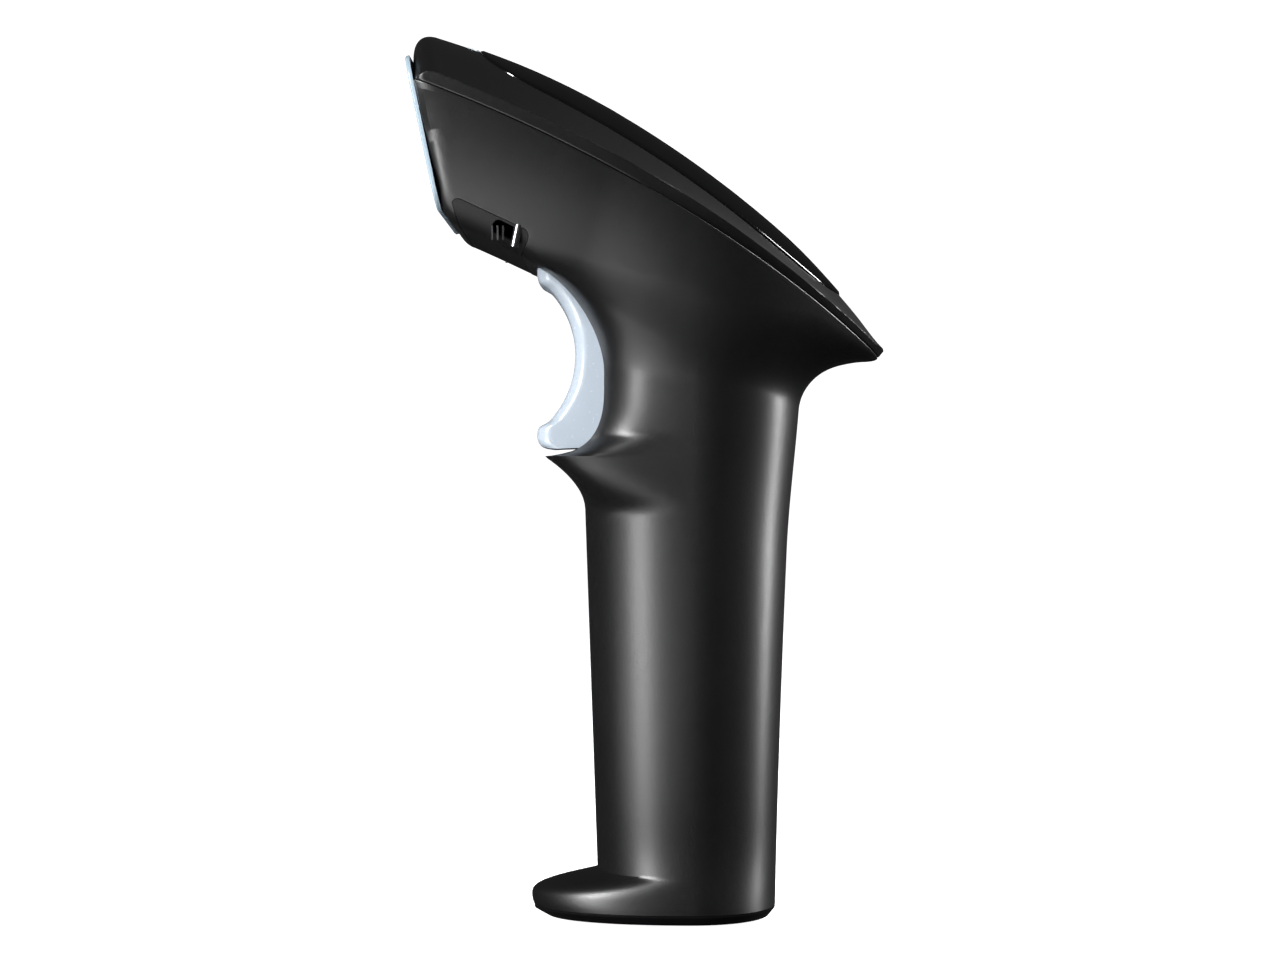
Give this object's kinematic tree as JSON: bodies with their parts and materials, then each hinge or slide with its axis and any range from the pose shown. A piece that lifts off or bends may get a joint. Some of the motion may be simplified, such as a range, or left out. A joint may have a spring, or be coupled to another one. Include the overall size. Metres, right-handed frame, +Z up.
{
  "type": "handheld barcode scanner",
  "caption": "Pistol-grip barcode scanner with a wedge-shaped head, curved finger trigger, round column grip and a small foot it stands on.",
  "frame": {"origin": "centre line of the grip on the base face it stands on", "axes": "+Z up the grip, -X towards the nose and scan window, +Y to the side"},
  "size_m": [0.0902, 0.066, 0.1686],
  "materials": {
    "housing_black": "fine satin moulded texture",
    "inlay_gloss": "polished",
    "light_pipe": "frosted clear",
    "bezel_blue_grey": "smooth satin",
    "window_acrylic": "polished dark red filter",
    "gasket_rubber": "matt",
    "bracket_black": "satin",
    "steel": "bright",
    "trigger_blue_grey": "smooth satin",
    "inner_black": "matt",
    "switch_cream": "matt",
    "board_green": "solder mask",
    "chip_black": "matt",
    "lens_glass": "polished",
    "sensor_dark": "glass-faced",
    "led_red": "clear dome",
    "ribbon": "film",
    "base_black": "smooth gloss",
    "contact_gold": "plated"
  },
  "bodies": {
    "body": {"main_housing": "housing_black", "top_cover": "housing_black", "top_inlay": "inlay_gloss", "status_light_pipe": "light_pipe", "nose_bezel": "bezel_blue_grey", "scan_window": "window_acrylic", "window_gasket": "gasket_rubber", "strap_bracket": "bracket_black", "strap_pins": "steel", "trigger_pivot_pin": "steel", "trigger_bracket": "inner_black", "trigger_return_spring": "steel", "trigger_switch": "chip_black", "switch_board": "board_green", "main_board": "board_green", "board_chips": "chip_black", "engine_chassis": "inner_black", "lens_barrel": "chip_black", "imaging_lens": "lens_glass", "ccd_sensor": "sensor_dark", "sensor_board": "board_green", "illumination_board": "board_green", "illumination_leds": "led_red", "buzzer": "chip_black", "flex_harness": "ribbon", "modular_jack": "chip_black", "jack_contacts": "contact_gold", "base_plate": "base_black", "base_screws": "steel", "cover_screws": "steel", "board_screws": "steel", "engine_screws": "steel", "bracket_screws": "steel"},
    "trigger": {"trigger": "trigger_blue_grey", "trigger_arm": "inner_black"},
    "plunger": {"switch_plunger": "switch_cream"}
  },
  "joints": [
    {"name": "trigger_pull", "type": "hinge", "parent": "body", "child": "trigger", "pos_m": [-0.0163, 0, 0.1215], "axis": [0, -1, 0], "range_deg": [0, 4.5], "stiffness_Nm_per_rad": 0.3, "springref_deg": -5.73, "deforming": ["trigger_return_spring"]},
    {"name": "switch_plunger_slide", "type": "slide", "parent": "body", "child": "plunger", "axis": [1, 0, 0], "range_m": [0, 0.00085]}
  ],
  "couplings": [
    {"joint": "switch_plunger_slide", "follows": "trigger_pull", "m_per_rad": 0.0105}
  ]
}
